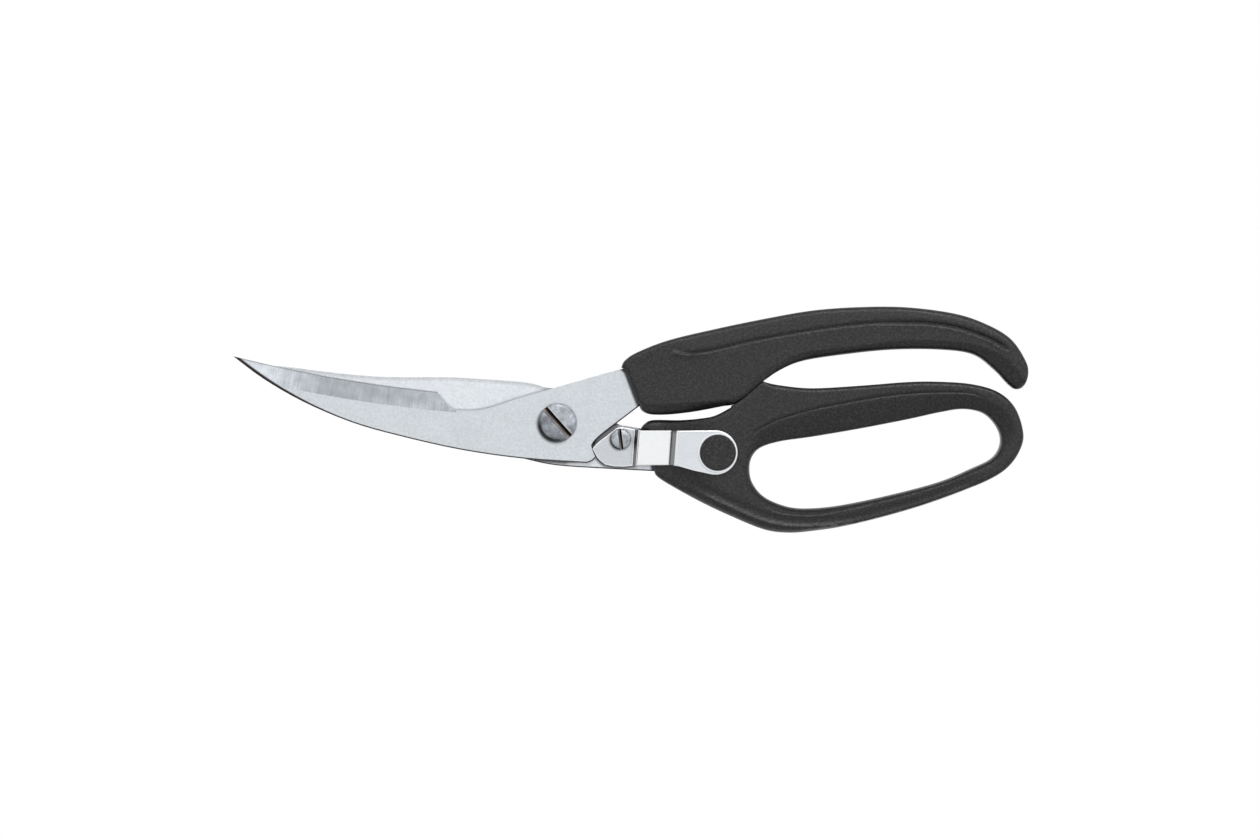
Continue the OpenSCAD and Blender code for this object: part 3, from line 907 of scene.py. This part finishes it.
def blade(node, name, tip):
    """A blade: a flat chamfer on the edges that face -Y, and a fine one elsewhere. Its tip
    stays sharp."""

    def clear_of_tip(edge, reach):
        return all((v.co.xy - Vector(tip)).length > reach for v in edge.verts)

    def chamfered(edge):
        return lower_rim(edge) and clear_of_tip(edge, 4)

    def fine(edge):
        return clear_of_tip(edge, 9)

    steps = [(chamfered, 0.4, 1), (fine, 0.08, 2)]
    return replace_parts(refined(node, name, steps, smooth_angle=20), node)


def latch_lever():
    """Bent from sheet: rounded bends across it, and a fine edge all round."""

    def bend(edge):
        way = edge.verts[1].co - edge.verts[0].co
        return abs(way.y) > 0.9 * way.length and way.length > 4 and abs(way.z) < 0.5

    steps = [(bend, 0.45, 4), (any_edge, 0.16, 2)]
    piece = refined("latch_lever", "latch_lever_sheet", steps, rim=0.28)
    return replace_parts(piece, "latch_lever")


# ---- Studio ----------------------------------------------------------------

# Brightness of the dome from one side to the other: (place from -1 to 1, level)
DOME = [
    (-1, 0.56), (-0.6, 0.56), (-0.35, 0.56), (-0.15, 0.78), (0, 0.93), (0.2, 0.95),
    (0.36, 0.84), (0.6, 0.76), (0.8, 0.8), (1, 1.0),
]
DOME_WAY = (0.37, 0.93, 0)  # the direction that the levels run in
LAMP_WAY = (0.08, 0.44, 0.9)  # the direction of the soft lamp
LAMP_RIM, LAMP_CORE = math.radians(12), math.radians(7)  # its radius, and that of its core
LAMP_LEVEL = 4.6
FLOOR_REACH, FLOOR_Z = 12.0, -0.0006  # half its width, and its height, in metres


def seen_and_lit(shader, kind, seen_level, light_level):
    """White at one strength for the camera and at another one for everything else."""
    camera_ray = shader.add("ShaderNodeLightPath", output="Is Camera Ray")
    light = shader.add(kind, {"Color": (1, 1, 1, 1), "Strength": light_level})
    seen = shader.add(kind, {"Color": (1, 1, 1, 1), "Strength": seen_level})
    return shader.add("ShaderNodeMixShader", {0: camera_ray, 1: light, 2: seen})


def dome():
    """Surroundings that are white for the camera and a soft overhead light for the shears."""
    world = bpy.data.worlds.new("studio")
    bpy.context.scene.world = world
    shader = Shader(world)
    way = shader.add("ShaderNodeTexCoord", output="Generated")
    side = shader.vector("DOT_PRODUCT", way, DOME_WAY, output="Value")
    tone = shader.add("ShaderNodeValToRGB", {0: shader.between(side, -1, 1)})
    ramp = tone.node.color_ramp
    while len(ramp.elements) < len(DOME):
        ramp.elements.new(0.5)
    for element, (at, level) in zip(ramp.elements, DOME):
        element.position = (at + 1) / 2
        element.color = (level, level, level, 1)
    lamp_way = Vector(LAMP_WAY).normalized()
    near_lamp = shader.vector("DOT_PRODUCT", way, lamp_way, output="Value")
    lamp = shader.between(near_lamp, math.cos(LAMP_RIM), math.cos(LAMP_CORE), 0.0, LAMP_LEVEL)
    light = shader.math("ADD", tone, lamp)
    surface = seen_and_lit(shader, "ShaderNodeBackground", 1.0, light)
    shader.add("ShaderNodeOutputWorld", {"Surface": surface})


def white_floor():
    """A white floor that throws light back on the shears' undersides."""
    material = bpy.data.materials.new("pale_floor")
    shader = Shader(material)
    surface = seen_and_lit(shader, "ShaderNodeEmission", 1.0, 0.9)
    shader.add("ShaderNodeOutputMaterial", {"Surface": surface})
    data = bpy.data.meshes.new("floor")
    corners = [(-1, -1), (1, -1), (1, 1), (-1, 1)]
    verts = [(x * FLOOR_REACH, y * FLOOR_REACH, FLOOR_Z) for x, y in corners]
    data.from_pydata(verts, [], [(0, 1, 2, 3)])
    data.materials.append(material)
    piece = bpy.data.objects.new("floor", data)
    bpy.context.scene.collection.objects.link(piece)


def studio():
    """White floor and surroundings for the camera, and a soft overhead dome for light."""
    bpy.context.scene.view_settings.view_transform = "Standard"
    dome()
    white_floor()


def camera():
    """A long lens straight above the shears, with room around them."""
    data = bpy.data.cameras.new("camera")
    data.lens, data.sensor_width, data.clip_end = 200, 36, 20
    seen_width = 0.3962  # metres across the picture, at the height of the blades
    aside = 0.0001  # metres from the middle of the CAD box
    low, high = cad_box
    middle = (low + high) / 2
    view = bpy.data.objects.new("camera", data)
    view.location = (
        middle.x - aside, middle.y - aside,
        BLADE_TOP * MM + seen_width * data.lens / data.sensor_width,
    )
    bpy.context.scene.collection.objects.link(view)
    bpy.context.scene.camera = view


# ---- Assembly --------------------------------------------------------------

# The chamfer colours are painted shade on faces turned away from the light.
front_steel = steel(
    "front_blade_satin", rgb(212, 217, 222), bevel=True, chamfer=rgb(58, 54, 54),
    shadow_radius=5.9,
)
rear_steel = steel(
    "rear_blade_satin", rgb(227, 231, 236), chamfer=rgb(70, 67, 67), gap_dark=0.42, gap_light=0.95
)
# The lever's ramp colour is a painted highlight.
lever_steel = steel(
    "lever_polish_and_painted_highlights", rgb(225, 229, 234), roughness=0.3, grain=0.03, chamfer=rgb(98, 96, 97),
    ramp=rgb(252, 254, 255),
)
pivot_head = dict(
    top=node_box("pivot_screw")[1][2], rim_radius=5.95, slot_turn=-48.3, slot_width=1.8
)
pivot_steel = turned_steel("pivot_screw_turned", rgb(166, 171, 178), PIVOT, pivot_head)
latch_head = dict(
    top=node_box("latch_screw")[1][2], rim_radius=3.25, slot_turn=-83, slot_width=1.1
)
latch_steel = turned_steel("latch_screw_turned", rgb(180, 185, 192), LATCH, latch_head)
nut_steel = turned_steel("pivot_nut_turned", rgb(216, 220, 224), PIVOT)
spring_steel = steel("spring_wire", rgb(170, 174, 180), roughness=0.25, grain=0.03)
grip = moulded_plastic("handle_charcoal", rgb(30, 29.5, 30.5))
button_grip = moulded_plastic("button_charcoal", rgb(30, 30, 31), roughness=0.55, grain=0.04)


def dress(piece, material, body=None):
    """Gives a piece its material, and rides a new piece on its body."""
    piece.data.materials.clear()
    piece.data.materials.append(material)
    if body:
        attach(piece, body)


# The longest outline of a handle is its own, and the lower one's next is the finger hole's
bow = smooth_outline(outlines("upper_handle", height=4.5)[0])
loops = [smooth_outline(points) for points in outlines("lower_handle", height=7.5)[:2]]
loop, hole = sorted(loops, key=lambda points: -np.ptp(points[:, 0]))
dress(upper_handle(bow), grip, "front_half")
dress(lower_handle(touching(loop, bow), hole), grip, "rear_half")
front = blade("front_blade", "front_blade_plate", FRONT_TIP)
dress(front, front_steel, "front_half")
rear = blade("rear_blade", "rear_blade_plate", REAR_TIP)
dress(rear, rear_steel, "rear_half")
dress(latch_lever(), lever_steel, "latch")

# CAD pieces that only get a fine edge: node, name, material, slot and body
FINE = [
    ("pivot_screw", "pivot_screw_head", pivot_steel, "screw_steel", "rear_half"),
    ("latch_screw", "latch_screw_head", latch_steel, "screw_steel", "rear_half"),
    ("pivot_nut", "pivot_nut_back", nut_steel, "screw_steel", "rear_half"),
    ("latch_button", "latch_button_cap", button_grip, "button_plastic", "latch"),
]
for node, name, material, slot, body in FINE:
    piece = refined(node, name, [(any_edge, 0.1, 2)])
    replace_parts(piece, node)
    dress(piece, material, body)

# CAD pieces that stay as they are
for node in ("pivot_disc_spring", "opening_spring", "latch_wave_washer", "button_retainer"):
    dress(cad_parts[node], spring_steel)
dress(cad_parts["stop_pin"], spring_steel)

studio()
camera()
